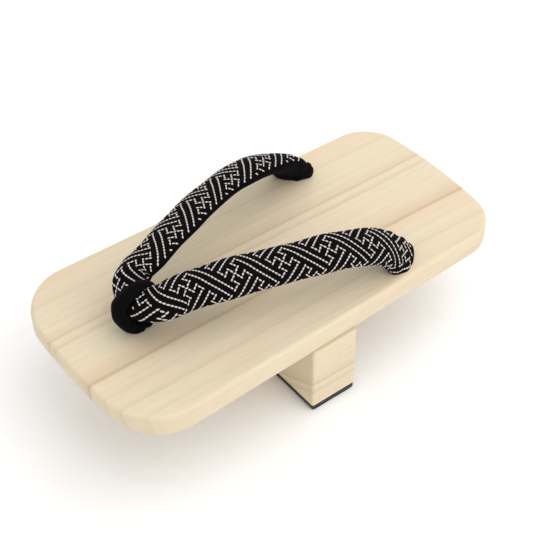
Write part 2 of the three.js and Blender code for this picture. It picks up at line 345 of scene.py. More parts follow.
def wood_group():
    """Growth rings from the distance to a pith line along Y, with fibres; puts out colour and height."""
    numbers = {"Pith X": 150.0, "Pith Z": 20.0, "Ring Width": 5.0, "First Line": 84.0}
    outputs = {"Color": "Color", "Height": "Float", "Roughness": "Float"}
    group, given, result = new_group("growth_rings", numbers, outputs)

    def stretched(x, y, z):
        """The given vector with its axes scaled."""
        node = put(group, "ShaderNodeVectorMath", {"operation": "MULTIPLY"}, in0=given.outputs["Vector"])
        node.inputs[1].default_value = (x, y, z)
        return node.outputs[0]

    def times(first, second):
        """The product of two values."""
        return math_node(group, "MULTIPLY", first, second)

    def swing(value, size):
        """A noise value moved to run equally far to both sides of nought."""
        return times(math_node(group, "SUBTRACT", value, 0.5), size)

    slow = noise(group, stretched(0.01, 0.0022, 0.01), 1.0, 2.0)
    wave = noise(group, stretched(0.05, 0.008, 0.05), 1.0, 3.0)
    split = put(group, "ShaderNodeSeparateXYZ", None, Vector=given.outputs["Vector"])
    across = math_node(group, "SUBTRACT", split.outputs["X"], given.outputs["Pith X"])
    across = math_node(group, "ADD", across, times(split.outputs["Y"], -0.012))
    depth = math_node(group, "SUBTRACT", split.outputs["Z"], given.outputs["Pith Z"])
    reach = math_node(group, "SQRT", math_node(group, "ADD", times(across, across), times(depth, depth)))
    reach = math_node(group, "ADD", reach, swing(slow, 9.0))
    reach = math_node(group, "ADD", reach, swing(wave, 2.4))
    year = math_node(group, "DIVIDE", reach, given.outputs["Ring Width"])
    season = math_node(group, "FRACT", year)
    faint = ramp(group, season, [(0.0, grey(0.06)), (0.4, grey(0.0)), (0.9, grey(0.34)), (1.0, grey(0.06))])
    which = math_node(group, "FLOOR", year)
    strength = put(group, "ShaderNodeTexWhiteNoise", {"noise_dimensions": "1D"}, W=which).outputs["Value"]
    faint = times(faint, times(strength, 0.6))
    place = math_node(group, "SUBTRACT", reach, given.outputs["First Line"])
    place = math_node(group, "DIVIDE", place, LINES_SPAN)
    bold = ramp(group, place, [stop for start, peak, end, value in BOLD_LINES
                               for stop in ((start, grey(0.0)), (peak - 0.014, grey(0.42 * value)),
                                            (peak, grey(value)), (end, grey(0.03)))])
    late = math_node(group, "MAXIMUM", faint, bold)
    fibre = noise(group, stretched(1.6, 0.022, 1.6), 1.0, 4.0, 0.6)
    fine = noise(group, stretched(5.5, 0.07, 5.5), 1.0, 2.0, 0.6)
    tint = noise(group, stretched(0.03, 0.006, 0.03), 1.0, 2.0)
    colour = ramp(group, tint, [(0.30, (0.70, 0.62, 0.45)), (0.50, (0.72, 0.61, 0.44)),
                                (0.70, (0.72, 0.57, 0.41))])
    colour = blend_colour(group, "MIX", times(late, 0.8), colour, (0.50, 0.35, 0.21))
    streak = ramp(group, fibre, [(0.30, (0.93, 0.92, 0.90)), (0.62, (1.0, 1.0, 1.0))])
    colour = blend_colour(group, "MULTIPLY", 0.85, colour, streak)
    pore = ramp(group, fine, [(0.28, (0.86, 0.82, 0.76)), (0.42, (1.0, 1.0, 1.0))])
    colour = blend_colour(group, "MULTIPLY", 0.8, colour, pore)
    height = math_node(group, "ADD", times(fibre, 0.6), times(fine, 0.4))
    height = math_node(group, "SUBTRACT", height, times(late, 0.25))
    rough = math_node(group, "MULTIPLY_ADD", fibre, 0.22, 0.42)
    group.links.new(colour, result.inputs["Color"])
    group.links.new(height, result.inputs["Height"])
    group.links.new(rough, result.inputs["Roughness"])
    return group


GROWTH_RINGS = wood_group()


def bare_wood(name, pith_x, pith_z, ring_width, first_line):
    """Bare timber from the growth ring group, with its own pith and ring width."""
    material, tree, shader = new_material(name)
    rings = put(tree, "ShaderNodeGroup", {"node_tree": GROWTH_RINGS}, Vector=millimetres(tree))
    rings.inputs["Pith X"].default_value = pith_x
    rings.inputs["Pith Z"].default_value = pith_z
    rings.inputs["Ring Width"].default_value = ring_width
    rings.inputs["First Line"].default_value = first_line
    tree.links.new(rings.outputs["Color"], shader.inputs["Base Color"])
    tree.links.new(rings.outputs["Roughness"], shader.inputs["Roughness"])
    tree.links.new(bump(tree, rings.outputs["Height"], 0.35, 0.25), shader.inputs["Normal"])
    shader.inputs["Specular IOR Level"].default_value = 0.35
    return material


deck_wood = bare_wood("deck_wood", 150.0, 20.0, 5.0, 84.0)
tooth_wood = bare_wood("tooth_wood", 20.0, 150.0, 4.0, 96.0)
print("wood:", deck_wood.name, tooth_wood.name)

# %% [markdown]
# ## The deck
# The deck is one board with big rounded corners at the toe, smaller ones at the heel, bowed ends
# and sides that open slightly towards the toe. It could be a box with bevels, but its corners and
# ends bend at once, so the outline is worked out first, then carried in and down round the edge.

# %% The deck's outline
HALF_LENGTH, HALF_WIDTH = 132.5, 63.0
TAPER, TOE_CORNER, HEEL_CORNER, TOE_BOW, HEEL_BOW = 0.056, 34.0, 23.0, 4.0, 5.5
UNDERSIDE, DECK_TOP = 48.0, 64.5
TOP_EDGE, BOTTOM_EDGE = 2.5, 5.0
CHAMFER_LENGTH, CHAMFER_HEIGHT = 13.0, 5.0


def rounded_rectangle(half_width, half_length, toe_corner, heel_corner, steps=24):
    """Points round a rectangle whose corners are quarter circles, anticlockwise from the toe's right."""
    arc = np.linspace(0, np.pi / 2, steps)
    corners = []
    for number, (sx, sy, radius) in enumerate(((1, 1, toe_corner), (-1, 1, toe_corner),
                                               (-1, -1, heel_corner), (1, -1, heel_corner))):
        angle = arc + number * np.pi / 2
        middle = np.array([sx * (half_width - radius), sy * (half_length - radius)])
        corners.append(middle + radius * np.stack([np.cos(angle), np.sin(angle)], -1))
    return np.concatenate(corners)


def even_steps(loop, count):
    """The same closed loop with count points at even distances along it."""
    closed = np.concatenate([loop, loop[:1]])
    travelled = distance_along(closed)
    wanted = np.linspace(0, travelled[-1], count, endpoint=False)
    return np.stack([np.interp(wanted, travelled, closed[:, i]) for i in range(2)], -1)


def outward(loop):
    """Unit normals of an anticlockwise loop, from the central difference of its points."""
    along = np.roll(loop, -1, 0) - np.roll(loop, 1, 0)
    return unit(np.stack([along[:, 1], -along[:, 0]], -1))


def deck_outline(count=360):
    """The rounded rectangle opened by the taper and bowed at its ends by the fourth power of y."""
    loop = even_steps(rounded_rectangle(HALF_WIDTH, HALF_LENGTH, TOE_CORNER, HEEL_CORNER), count)
    x, y = loop[:, 0], loop[:, 1]
    reach = y / HALF_LENGTH
    bow = np.where(y > 0, TOE_BOW, -HEEL_BOW) * (x / HALF_WIDTH) ** 2 * reach ** 4
    return np.stack([x * (1 + TAPER * reach), y - bow], -1)


# %% The deck's edge and faces
def deck_rings(outline):
    """Rings from the middle of the top, round its edge, down the side and back to the middle below."""
    normal = outward(outline)
    quarter = np.linspace(0, np.pi / 2, 9)
    inset = np.concatenate([TOP_EDGE * (1 - np.sin(quarter)), BOTTOM_EDGE * (1 - np.cos(quarter))])
    level = np.concatenate([DECK_TOP - TOP_EDGE * (1 - np.cos(quarter)),
                            UNDERSIDE + BOTTOM_EDGE * (1 - np.sin(quarter))])
    edge = outline[None] - inset[:, None, None] * normal[None]
    rings = np.concatenate([edge, np.broadcast_to(level[:, None, None], edge.shape[:2] + (1,))], -1)
    shrink = np.array([0.02, 0.25, 0.5, 0.75, 0.92, 0.985])[:, None, None]
    flat = np.ones((len(shrink), len(outline), 1))
    top = np.concatenate([rings[0][None, :, :2] * shrink, flat * DECK_TOP], -1)
    below = np.concatenate([rings[-1][None, :, :2] * shrink[::-1], flat * UNDERSIDE], -1)
    block = np.concatenate([top, rings, below])
    lift = CHAMFER_HEIGHT * np.clip((block[..., 1] - (HALF_LENGTH - CHAMFER_LENGTH)) / CHAMFER_LENGTH, 0, 1)
    share = np.clip((DECK_TOP - TOP_EDGE - block[..., 2]) / (DECK_TOP - TOP_EDGE - UNDERSIDE), 0, 1)
    block[..., 2] += lift * share
    return block


loft("deck_board_wood", deck_rings(deck_outline())[::-1], [deck_wood], ("deck_board",))

# %% [markdown]
# ## The tooth and its rubber
# One block runs right across under the deck, with its grain along the board and its edges just
# eased with a plane. The rubber glued under it is ribbed along the tooth, so its cross-section is
# drawn once with all its ribs and carried from one end to the other.

# %% The tooth
TOOTH_HALF, TOOTH_DEEP, TOOTH_CORNER = 63.0, 15.5, 1.2
RUBBER_TOP = 3.8


def tooth_rings():
    """A rounded rectangle carried down from the deck, drawn in by the ease at its lower edge."""
    plan = even_steps(rounded_rectangle(TOOTH_HALF, TOOTH_DEEP, TOOTH_CORNER, TOOTH_CORNER, 8), 480)
    normal = outward(plan)
    quarter = np.linspace(0, np.pi / 2, 5)
    drop = np.concatenate([[0.0, 0.35], np.linspace(1.5, 42.6, 24), 43.4 + 0.8 * np.sin(quarter)])
    ease = np.concatenate([[0.5, 0.0], np.zeros(24), 0.8 * (1 - np.cos(quarter))])
    edge = plan[None] - ease[:, None, None] * normal[None]
    level = np.broadcast_to((UNDERSIDE - drop)[:, None, None], edge.shape[:2] + (1,))
    return np.concatenate([edge, level], -1)


loft("tooth_block_wood", tooth_rings()[::-1], [tooth_wood], ("tooth_block",))

# %% [markdown]
# ## Black rubber
# Moulded rubber is nearly black and dull, greyer where it rubs, with a fine pebbled skin. One fine noise
# gives the skin, and a second, drawn out along the tooth, gives a patchy dusty tint.

# %% The rubber's finish and its ribs
rubber, tree, shader = new_material("tread_rubber")
skin = noise(tree, millimetres(tree), 2.2, 4.0)
scuff = noise(tree, millimetres(tree, (0.05, 0.5, 0.5)), 1.0, 4.0)
tree.links.new(ramp(tree, scuff, [(0.35, (0.010, 0.010, 0.011)), (0.7, (0.028, 0.028, 0.029))]),
               shader.inputs["Base Color"])
tree.links.new(math_node(tree, "MULTIPLY_ADD", skin, 0.25, 0.48), shader.inputs["Roughness"])
tree.links.new(bump(tree, skin, 0.4, 0.12), shader.inputs["Normal"])

RIB_PITCH, RIB_DEEP, RUBBER_MARGIN = 1.9, 0.55, 0.4


def rubber_section():
    """Closed (y, z) section: flat top, upright sides with a bevel, and a ribbed underside."""
    half = TOOTH_DEEP - RUBBER_MARGIN
    y = np.linspace(-half + 1.0, half - 1.0, 241)
    rib = RIB_DEEP * np.clip(0.5 - 0.9 * np.cos(2 * np.pi * y / RIB_PITCH), 0, 1)
    under = np.stack([y, rib], -1)
    right = np.array([[half - 0.25, 0.25], [half, 0.9], [half, RUBBER_TOP - 0.3], [half - 0.3, RUBBER_TOP]])
    return np.concatenate([under, right, right[::-1] * [-1, 1]])


def rubber_rings():
    """The ribbed section carried across, shrunk a little at both ends for a moulded edge."""
    section = rubber_section()
    half = TOOTH_HALF - RUBBER_MARGIN
    x = np.array([-half, -half + 0.25, -half + 0.8, half - 0.8, half - 0.25, half])
    size = np.array([0.955, 0.985, 1.0, 1.0, 0.985, 0.955])
    middle = np.array([0.0, RUBBER_TOP])
    scaled = middle + (section[None] - middle) * size[:, None, None]
    return np.concatenate([np.broadcast_to(x[:, None, None], scaled.shape[:2] + (1,)), scaled], -1)


loft("tooth_tread_rubber", rubber_rings(), [rubber], ("tooth_tread",))

# %% [markdown]
# ## The strap's path
# The strap is one padded tube that runs from the left heel hole over the foot to the toe and back
# to the right heel hole. Its middle line passes through a few measured points with a rounded curve,
# and at each the tube has a half width, a half thickness and a roll that lowers its outer edge.

# %% Points that the strap passes through
STRAP_ROWS = np.array([
    [0, 87.0, 21.5, 10.2, 4.8, 24], [12.3, 80.8, 24.0, 11.3, 5.9, 17], [17.1, 66.0, 26.9, 11.7, 6.1, 15],
    [26.2, 39.5, 29.5, 11.9, 6.1, 17], [36.0, 9.9, 29.8, 11.7, 6.1, 15], [42.8, -19.9, 26.7, 11.8, 6.1, 14],
    [46.5, -46.2, 16.0, 11.9, 6.4, 28], [48.5, -61.5, -2.0, 11.8, 6.8, 48],
])


def curve_through(points, steps):
    """A curve through points whose knots are spaced by the square root of their distances."""
    first, last = 2 * points[0] - points[1], 2 * points[-1] - points[-2]
    padded = np.concatenate([[first], points, [last]])
    gap = np.sqrt(np.linalg.norm(np.diff(padded[:, :3], axis=0), axis=1))
    p0, p1, p2, p3 = (padded[i:i + len(points) - 1][:, None] for i in range(4))
    g0, g1, g2 = (gap[i:i + len(points) - 1][:, None, None] for i in range(3))
    tangent1 = ((p1 - p0) / g0 - (p2 - p0) / (g0 + g1) + (p2 - p1) / g1) * g1
    tangent2 = ((p2 - p1) / g1 - (p3 - p1) / (g1 + g2) + (p3 - p2) / g2) * g1
    t = np.linspace(0, 1, steps, endpoint=False)[None, :, None]
    part = (p1 * (2 * t ** 3 - 3 * t ** 2 + 1) + tangent1 * (t ** 3 - 2 * t ** 2 + t)
            + p2 * (-2 * t ** 3 + 3 * t ** 2) + tangent2 * (t ** 3 - t ** 2))
    return np.concatenate([part.reshape(-1, points.shape[1]), points[-1:]])


def strap_path(steps=40):
    """Rows of the whole strap, left heel to right heel, with frames and the distance from the toe."""
    whole = np.concatenate([STRAP_ROWS[:0:-1] * [-1, 1, 1, 1, 1, 1], STRAP_ROWS])
    rows = curve_through(whole, steps)
    centre = rows[:, :3] + [0, 0, DECK_TOP]
    along = unit(np.gradient(centre, axis=0))
    across = unit(np.cross([0.0, 0.0, 1.0], along))
    normal = np.cross(along, across)
    roll = -np.radians(rows[:, 5:6])
    turned = across * np.cos(roll) + normal * np.sin(roll)
    lifted = normal * np.cos(roll) - across * np.sin(roll)
    travelled = distance_along(centre)
    return {"centre": centre, "out": turned, "up": lifted, "a": rows[:, 3], "c": rows[:, 4],
            "s": travelled - travelled[len(travelled) // 2]}


STRAP = strap_path()
ARM_LENGTH = float(STRAP["s"][-1])
print("strap arm", round(ARM_LENGTH, 1), "mm from the toe to the heel hole")

# %% [markdown]
# ## Black cloth and velvet
# The strap's face is black cloth with a woven rib so fine that it reads as a soft bump, and its
# lining and the toe loop are velvet, whose pile catches light at its edges. A weave belongs on the
# surface, so it reads the piece's own UV map, which is in millimetres along and round the tube.


# %% The weave group and the cloth finishes
def weave_group():
    """Warp and weft as two crossed sine ribs on a millimetre map; puts out height and a fuzz mask."""
    group, given, result = new_group("fine_weave", {"Pitch": 0.7}, {"Height": "Float", "Fuzz": "Float"})
    split = put(group, "ShaderNodeSeparateXYZ", None, Vector=given.outputs["Vector"])
    turns = math_node(group, "DIVIDE", 2 * math.pi, given.outputs["Pitch"])
    warp = math_node(group, "SINE", math_node(group, "MULTIPLY", split.outputs["X"], turns))
    weft = math_node(group, "SINE", math_node(group, "MULTIPLY", split.outputs["Y"], turns))
    cloth = math_node(group, "MULTIPLY_ADD", math_node(group, "MULTIPLY", warp, weft), 0.5, 0.5)
    fuzz = noise(group, given.outputs["Vector"], 1.7, 4.0, 0.7)
    height = math_node(group, "ADD", cloth, math_node(group, "MULTIPLY", fuzz, 0.5))
    group.links.new(height, result.inputs["Height"])
    group.links.new(fuzz, result.inputs["Fuzz"])
    return group


FINE_WEAVE = weave_group()


def woven(name, dark, light, pitch, roughness, sheen, relief, sheen_tint=(1, 1, 1), gloss=0.04):
    """A cloth whose colour runs from dark to light with its fuzz, woven at the given pitch in mm."""
    material, tree, shader = new_material(name)
    coordinates = put(tree, "ShaderNodeUVMap", {"uv_map": "cloth_mm"})
    weave = put(tree, "ShaderNodeGroup", {"node_tree": FINE_WEAVE}, Vector=coordinates.outputs["UV"])
    weave.inputs["Pitch"].default_value = pitch
    fuzz = weave.outputs["Fuzz"]
    tree.links.new(ramp(tree, fuzz, [(0.3, dark), (0.7, light)]), shader.inputs["Base Color"])
    tree.links.new(math_node(tree, "MULTIPLY_ADD", fuzz, 0.2, roughness), shader.inputs["Roughness"])
    tree.links.new(bump(tree, weave.outputs["Height"], 0.5, relief), shader.inputs["Normal"])
    shader.inputs["Sheen Weight"].default_value = sheen
    shader.inputs["Sheen Roughness"].default_value = 0.4
    shader.inputs["Sheen Tint"].default_value = (*sheen_tint, 1)
    shader.inputs["Specular IOR Level"].default_value = gloss
    return material


strap_cloth = woven("strap_cloth", (0.0022, 0.0016, 0.0018), (0.0055, 0.0042, 0.0045),
                    pitch=0.72, roughness=0.78, sheen=0.008, relief=0.12)
loop_velvet = woven("loop_velvet", (0.0014, 0.0014, 0.0018), (0.004, 0.004, 0.0055),
                    pitch=0.35, roughness=0.8, sheen=0.025, relief=0.10, sheen_tint=(0.6, 0.6, 0.66))
strap_thread = woven("strap_thread", (0.52, 0.475, 0.45), (0.70, 0.65, 0.615),
                     pitch=0.5, roughness=0.62, sheen=0.1, relief=0.10, gloss=0.2)
lining_cotton = woven("lining_cotton", (0.74, 0.72, 0.68), (0.86, 0.84, 0.80),
                      pitch=0.8, roughness=0.75, sheen=0.1, relief=0.15)

# %% [markdown]
# ## The padded strap
# A tube of cloth stuffed with wadding takes a flattened oval section. The patterned cloth wraps the
# top and sides and is sewn to a velvet underside, so a shallow groove runs along each seam. Stuffed
# cloth also puckers where it bends, so the section swells and dips slightly along the length. The
# shape is a pad only some 23 mm wide, so it is worked out directly and not simulated.

# %% The strap's surface
OUTER_SEAM = math.radians(-24)
SECTION_POINTS, STRAP_RINGS = 96, 561
USUAL_WIDE, USUAL_THICK = 11.5, 5.8
SEAM_ALLOWANCE, CLOTH_EASE, SECTION_POWER, STRAP_SUNK = 0.9, 0.35, 0.92, 3.0


def section_table():
    """Angles of a usual section of the strap and the distance round it in mm from the top's middle."""
    angle = np.linspace(-np.pi / 2, 3 * np.pi / 2, 1441)
    point = np.stack([USUAL_WIDE * np.cos(angle), USUAL_THICK * np.sin(angle)], -1)
    travelled = distance_along(point)
    return angle, np.interp(np.pi / 2, angle, travelled) - travelled


ROUND_ANGLE, ROUND_DISTANCE = section_table()


def angle_at(round_mm):
    """The section angle at a distance round the strap, outward positive."""
    return np.interp(-round_mm, -ROUND_DISTANCE, ROUND_ANGLE)


def inner_limit(distance):
    """How far round the patterned cloth reaches on the inner side, less near the heel holes, in mm."""
    return np.interp(np.abs(distance), [0, 112, 150, 175], [-13.0, -13.0, -12.4, -11.6])


def inner_seam(distance):
    """The section angle of the seam on the strap's inner side."""
    return angle_at(inner_limit(distance) - SEAM_ALLOWANCE)


def seam_groove(distance, angle):
    """A narrow dip, in mm, where the top cloth meets the velvet on either side."""
    past = np.stack([angle - OUTER_SEAM, angle - inner_seam(distance)])
    away = np.abs(np.arctan2(np.sin(past), np.cos(past))).min(0)
    return -0.5 * np.exp(-(away / 0.055) ** 2) + 0.22 * np.exp(-((away - 0.16) / 0.09) ** 2)


def pucker(distance, angle):
    """Soft swelling along the tube in mm, stronger at the toe bend and near the heel holes."""
    end = np.exp(-((np.abs(distance) - ARM_LENGTH) / 22) ** 2) + 0.9 * np.exp(-(distance / 20) ** 2)
    slow = 0.22 * np.sin(distance * 0.105 + 0.8) + 0.14 * np.sin(distance * 0.23 + 2 * np.sin(angle) + 1.7)
    fold = 0.5 * end * np.sin(distance * 0.62 + 1.3 * np.cos(2 * angle)) * np.sin(angle * 1.5 + 0.4)
    return slow + fold


def strap_surface(distance, angle, proud=0.0):
    """Points at a distance along the strap and an angle round its oval, raised by proud in mm."""
    def pick(key):
        """A vector of the path at each distance."""
        return np.stack([np.interp(distance, STRAP["s"], STRAP[key][:, i]) for i in range(3)], -1)

    wide, thick = (np.interp(distance, STRAP["s"], STRAP[key]) for key in ("a", "c"))
    cosine, sine = np.cos(angle), np.sin(angle)
    lift = pucker(distance, angle) + proud
    flat_x = np.sign(cosine) * np.abs(cosine) ** SECTION_POWER * (wide - CLOTH_EASE + lift)
    flat_z = np.sign(sine) * np.abs(sine) ** SECTION_POWER * (thick - CLOTH_EASE + lift)
    dip = seam_groove(distance, angle)
    flat_x, flat_z = flat_x + dip * cosine, flat_z + dip * sine
    return pick("centre") + pick("out") * flat_x[..., None] + pick("up") * flat_z[..., None]


# %% The strap itself
path_share = np.linspace(0, 1, len(STRAP["s"]))
strap_s = np.interp(np.linspace(0, 1, STRAP_RINGS), path_share, STRAP["s"])
strap_angle = np.linspace(-np.pi / 2, 3 * np.pi / 2, SECTION_POINTS, endpoint=False)
grid_s, grid_angle = np.meshgrid(strap_s, strap_angle, indexing="ij")
strap_rings = strap_surface(grid_s, grid_angle)
strap_rings[..., 2] = np.maximum(strap_rings[..., 2], DECK_TOP - STRAP_SUNK)
strap_uv = np.stack([grid_s, np.interp(grid_angle, ROUND_ANGLE, ROUND_DISTANCE)], -1)
face_angle = (grid_angle + np.pi / SECTION_POINTS)[:-1]
under = ((face_angle < OUTER_SEAM) | (face_angle > inner_seam(grid_s[:-1]))).astype(int)
strap = loft("strap_padded_cloth", strap_rings, [strap_cloth, loop_velvet], ("strap",),
             strap_uv, under)

# %% [markdown]
# ## The fret of white stitches
# The cloth carries a key fret, the old interlocking pattern of hooked crosses and long bars set on
# the diagonal. A weaver charts it on squared paper: from each cross four arms step two stitches
# out, two across, two out, and then run fourteen to the next, mirrored cross. So the chart is
# walked here stitch by stitch over one repeat, and each white stitch is laid on the strap as a
# small raised pillow of thread, turned the way its line runs.

# %% Walking the fret's chart
REPEAT = 20
STITCH_ALONG, STITCH_ROUND = 1.315, 1.44
NW, NE, SW, SE = (-1, -1), (1, -1), (-1, 1), (1, 1)
CROSS_ARMS = [
    [(NW, 2), (SW, 2), (NW, 2), (NE, 14)],
    [(SE, 2), (NE, 2), (SE, 2), (SW, 14)],
    [(NE, 2), (NW, 2), (NE, 2), (SE, 14)],
    [(SW, 2), (SE, 2), (SW, 2), (NW, 14)],
]
MIRRORED = {NW: NE, NE: NW, SW: SE, SE: SW}


def fret_chart():
    """One repeat as rows of column, row and slope: the stitches met on walking from each cross."""
    chart = {}
    for arm in CROSS_ARMS:
        for start, steps in (((0, 0), arm), ((10, 10), [(MIRRORED[way], run) for way, run in arm[:3]])):
            column, row = start
            chart.setdefault((column % REPEAT, row % REPEAT), 0)
            for way, run in steps:
                for _ in range(run):
                    column, row = column + way[0], row + way[1]
                    chart.setdefault((column % REPEAT, row % REPEAT), way[0] * way[1])
    return np.array([(column, row, slope) for (column, row), slope in sorted(chart.items())])


CHART = fret_chart()
print("stitches in one repeat of", REPEAT, "by", REPEAT, ":", len(CHART))

# %% Laying the stitches on both arms
OUTER_LIMIT, TIP_MARGIN, HEEL_MARGIN, SEAT_ABOVE = 16.2, 4.0, 2.0, 0.6
REPEATS_ALONG, REPEATS_ROUND = np.arange(-8, 9), np.arange(-2, 3)
# Where a cross sits on each arm: the distance along from the toe and the distance round, in mm
ARM_STARTS = {-1: (83.3, 0.9), 1: (47.6, -6.5)}
PILLOW_POINTS = 10
PILLOW_RINGS = np.array([0.55, 0.85, 1.0])


def arm_stitches(side):
    """Distance along, distance round and slope of every stitch on one arm of the strap."""
    first, middle = ARM_STARTS[side]
    columns = CHART[:, 0, None, None] + REPEAT * REPEATS_ALONG[None, :, None]
    rows = CHART[:, 1, None, None] + REPEAT * REPEATS_ROUND[None, None, :]
    blocks = np.broadcast_arrays(columns, rows, CHART[:, 2, None, None])
    column, row, slope = (block.ravel() for block in blocks)
    along = first + column * STITCH_ALONG
    around = middle + row * STITCH_ROUND
    keep = (along > TIP_MARGIN) & (along < ARM_LENGTH - HEEL_MARGIN)
    keep &= (around < OUTER_LIMIT) & (around > inner_limit(along))
    return np.stack([along[keep], around[keep], slope[keep]], -1)


def stitch_pillows(stitch, surface, length=1.94, width=1.0, height=0.38):
    """Small domes on a surface: a round patch, stretched along its line, higher at its middle."""
    angle = np.linspace(0, 2 * np.pi, PILLOW_POINTS, endpoint=False)
    radius, turn_angle = np.meshgrid(PILLOW_RINGS, angle, indexing="ij")
    patch = np.stack([radius * np.cos(turn_angle), radius * np.sin(turn_angle)], -1).reshape(-1, 2)
    patch = np.concatenate([[[0, 0]], patch])
    rise = height * np.sqrt(np.clip(1 - (patch ** 2).sum(1) * 0.98, 0, 1)) - 0.12
    diagonal = np.array([STITCH_ALONG, STITCH_ROUND]) / math.hypot(STITCH_ALONG, STITCH_ROUND)
    way = np.stack([np.full(len(stitch), diagonal[0]), stitch[:, 2] * diagonal[1]], -1)
    way[stitch[:, 2] == 0] = (1, 0)
    long_part, wide_part = patch[:, 0] * length / 2, patch[:, 1] * width / 2
    along = stitch[:, None, 0] + way[:, None, 0] * long_part - way[:, None, 1] * wide_part
    around = stitch[:, None, 1] + way[:, None, 1] * long_part + way[:, None, 0] * wide_part
    points = surface(along, around, np.broadcast_to(rise[None], along.shape))
    return points, np.stack([along, around], -1)


def pillow_faces(count, turned):
    """A fan, two bands of quads and a flat base for every pillow, as index rows."""
    here = np.arange(PILLOW_POINTS)
    after = (here + 1) % PILLOW_POINTS
    fan = np.stack([np.zeros_like(here), 1 + here, 1 + after], -1)
    last = 1 + (len(PILLOW_RINGS) - 1) * PILLOW_POINTS
    inner = np.arange(1, last, PILLOW_POINTS)[:, None]
    outer = inner + PILLOW_POINTS
    band = np.stack([inner + here, outer + here, outer + after, inner + after], -1).reshape(-1, 4)
    base = last + here[None, ::-1]
    start = (np.arange(count) * (last + PILLOW_POINTS))[:, None, None]
    if turned:
        fan, band, base = fan[:, ::-1], band[:, ::-1], base[:, ::-1]
    return [(part[None] + start).reshape(-1, part.shape[1]) for part in (fan, band, base)]


def lay_fret(name, stitch, surface, turned):
    """One mesh of all the stitches on a surface."""
    pillow, pillow_uv = stitch_pillows(stitch, surface)
    return make_piece(name, pillow.reshape(-1, 3), pillow_faces(len(pillow), turned), [strap_thread],
                      (), pillow_uv.reshape(-1, 2))


def arm_surface(side):
    """The strap's surface by distance along one arm and distance round it."""
    return lambda along, around, lift: strap_surface(side * along, angle_at(around), lift)


for side, arm_name in ((-1, "left"), (1, "right")):
    stitch = arm_stitches(side)
    seat = arm_surface(side)(stitch[:, 0], stitch[:, 1], np.zeros(len(stitch)))
    stitch = stitch[seat[:, 2] > DECK_TOP + SEAT_ABOVE]
    lay_fret("strap_fret_" + arm_name, stitch, arm_surface(side), side < 0)

# %% [markdown]
# ## The strap's tails under the deck
# Below the deck the strap's ends are drawn through the heel holes, folded flat towards the middle
# and tied to the twine. Each tail is a flattened tongue of the same cloth, and its cut end shows
# the white lining.

# %% The tails
TAIL_ROWS = np.array([[53.4, 1.4, 0.8], [52.4, 4.2, 2.2], [50.0, 6.6, 3.3], [45.5, 8.0, 4.1],
                      [37.5, 7.8, 4.4], [30.0, 6.8, 4.3]])
HEEL_Y, TAIL_Z = -62.5, 43.3
TAIL_LENGTH, TAIL_ROUND = 25.0, 6.3
TAIL_RINGS, TAIL_POINTS, LINING_RINGS = 40, 48, 5
CHART_SHIFT, FIRST_STITCH, LAST_STITCH = 20.0, 1.5, 20.5


def tail_surface(side, share, angle, proud=0.0):
    """An oval section carried towards the middle, with its folds as waves that grow to the cut end."""
    table = np.linspace(0, 1, len(TAIL_ROWS))
    x, wide, thick = (np.interp(share, table, TAIL_ROWS[:, i]) for i in range(3))
    wave = 0.95 + 0.05 * share * np.sin(3 * angle + 5 * share)
    y = HEEL_Y + (wide * wave + proud) * np.cos(angle)
    z = TAIL_Z + (thick * wave + proud) * np.sin(angle)
    return np.stack([side * x, y, z], -1)


def tail_on(side):
    """The tail's surface by distance along it and distance round it."""
    return lambda along, around, lift: tail_surface(side, along / TAIL_LENGTH, around / TAIL_ROUND, lift)


def tail_stitches():
    """The chart's stitches that fall on a tail, as distance along it, distance round it and slope."""
    stitch = arm_stitches(1) - [CHART_SHIFT, 0.0, 0.0]
    spread = np.concatenate([stitch, stitch + [0.0, REPEAT * STITCH_ROUND, 0.0]])
    return spread[(spread[:, 0] > FIRST_STITCH) & (spread[:, 0] < LAST_STITCH)]


tail_angle = np.linspace(0, 2 * np.pi, TAIL_POINTS, endpoint=False)
share, angle = np.meshgrid(np.linspace(0, 1, TAIL_RINGS), tail_angle, indexing="ij")
for side, arm_name in ((-1, "left"), (1, "right")):
    tail = tail_surface(side, share, angle)
    tail_uv = np.stack([share * TAIL_LENGTH, angle * TAIL_ROUND], -1)
    tail, tail_uv = (tail, tail_uv) if side < 0 else (tail[:, ::-1], tail_uv[:, ::-1])
    lining = np.zeros((TAIL_RINGS - 1, TAIL_POINTS), dtype=int)
    lining[-LINING_RINGS:] = 1
    loft("strap_tail_" + arm_name, tail, [strap_cloth, lining_cotton], (), tail_uv, lining)
    lay_fret("tail_fret_" + arm_name, tail_stitches(), tail_on(side), side < 0)

# %% [markdown]
# ## The velvet toe loop
# A short band of velvet is folded over the tip of the V and drawn down through the toe hole. It is
# plump in front, narrow where it lies in the groove between the two arms, and creased along its
# length, so its section is an oval whose size is set at a few points of a closed curve.

# %% The toe loop
LOOP_ROWS = np.array([[0, 86.5, 0.5, 5.0, 5.0], [0, 93.5, 6.0, 5.3, 4.2], [0, 98.2, 14.0, 5.6, 3.2],
                      [0, 97.8, 21.4, 5.4, 2.9], [0, 91.4, 27.0, 4.7, 2.4], [0, 82.6, 28.9, 3.5, 2.2],
                      [0, 77.0, 24.6, 2.8, 2.2], [0, 78.5, 11.0, 3.6, 3.4], [0, 83.5, 0.5, 4.6, 4.6]])
LOOP_SUNK = 2.5


